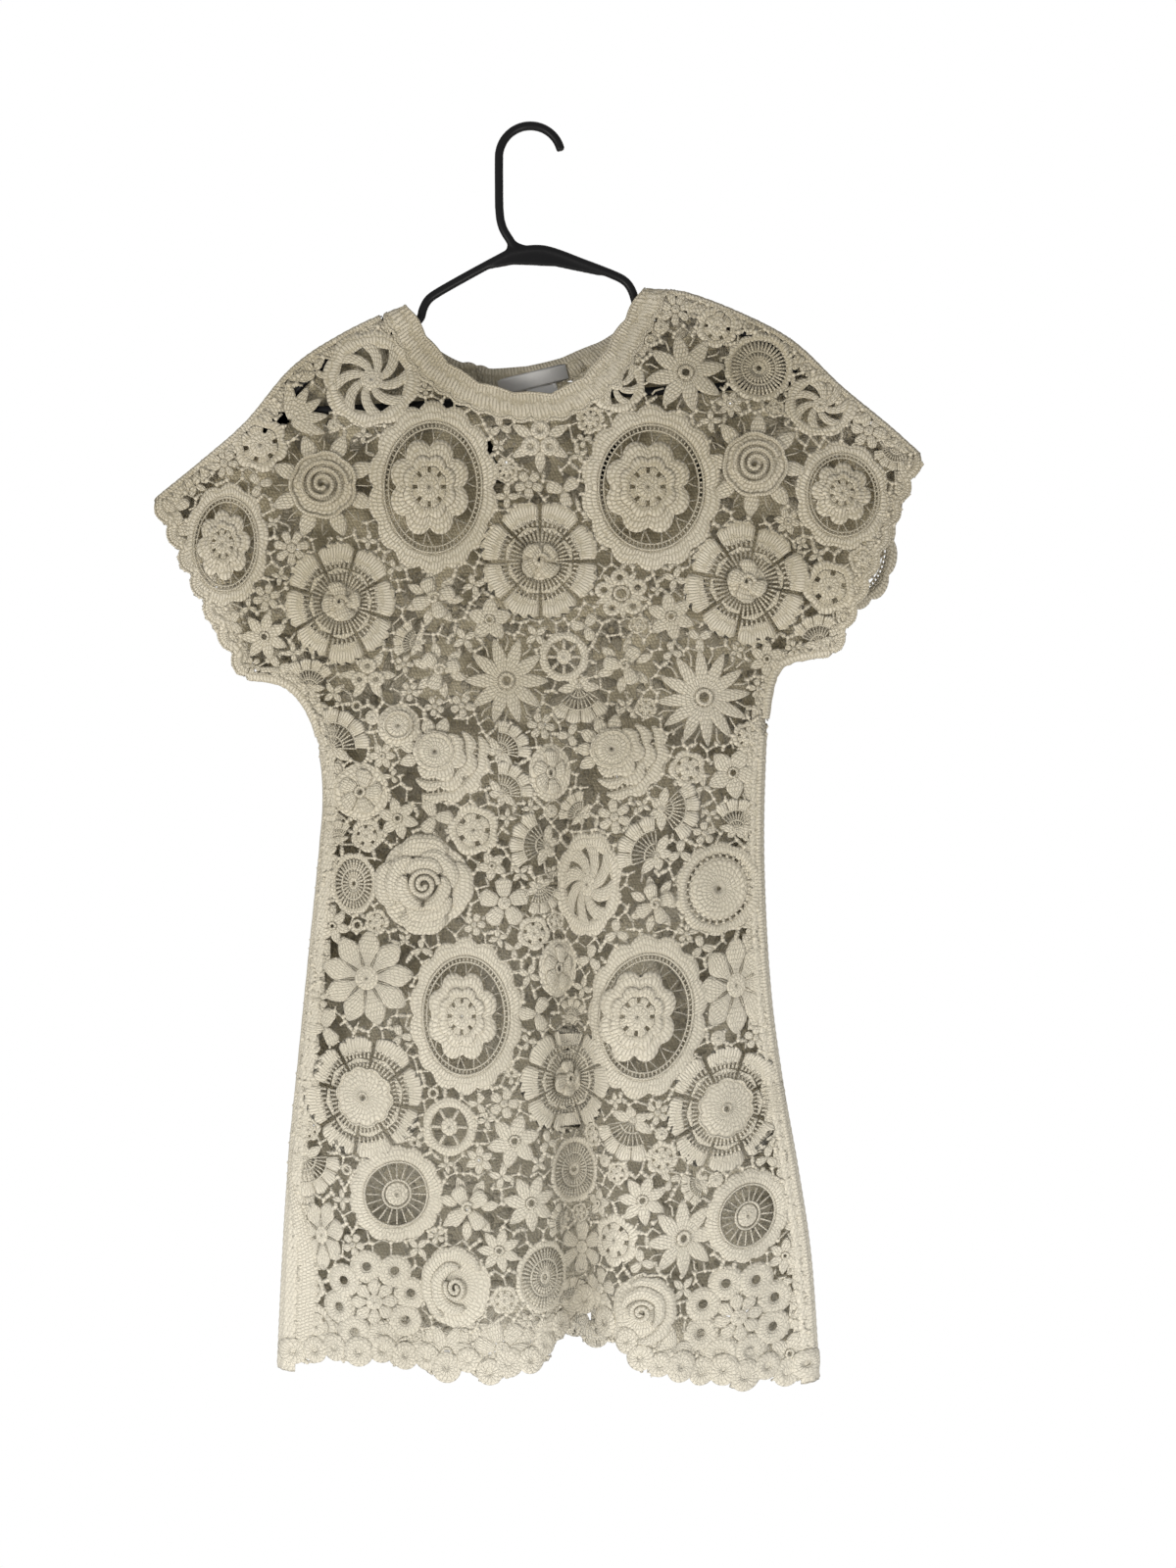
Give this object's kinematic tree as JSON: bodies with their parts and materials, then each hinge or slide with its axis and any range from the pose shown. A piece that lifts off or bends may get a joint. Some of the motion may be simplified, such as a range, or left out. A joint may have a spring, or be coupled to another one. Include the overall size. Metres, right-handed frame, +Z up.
{
  "type": "crochet mini dress on a hanger",
  "caption": "Ivory crochet lace mini dress with short kimono sleeves, scalloped neck, cuffs and hem and raised flowers, on a black tubular hanger.",
  "frame": {"origin": "inner top of the hanger's hook, where a rail or wall hook carries it", "axes": "+Z up, the dress's front faces -Y, +X to the viewer's right as the front is seen"},
  "size_m": [0.6481, 0.0997, 1.0632],
  "materials": {
    "crochet_cotton": "matte ivory cotton crochet",
    "ribbed_cotton": "matte ivory cotton rib",
    "label_tape": "satin woven tape",
    "hanger_plastic": "semi-gloss black"
  },
  "bodies": {
    "root": {"front_panel": "crochet_cotton", "back_panel": "crochet_cotton", "neckband_front": "crochet_cotton", "neckband_back": "crochet_cotton", "side_band_left": "ribbed_cotton", "side_band_right": "ribbed_cotton", "label": "label_tape", "hanger": "hanger_plastic"}
  },
  "joints": []
}
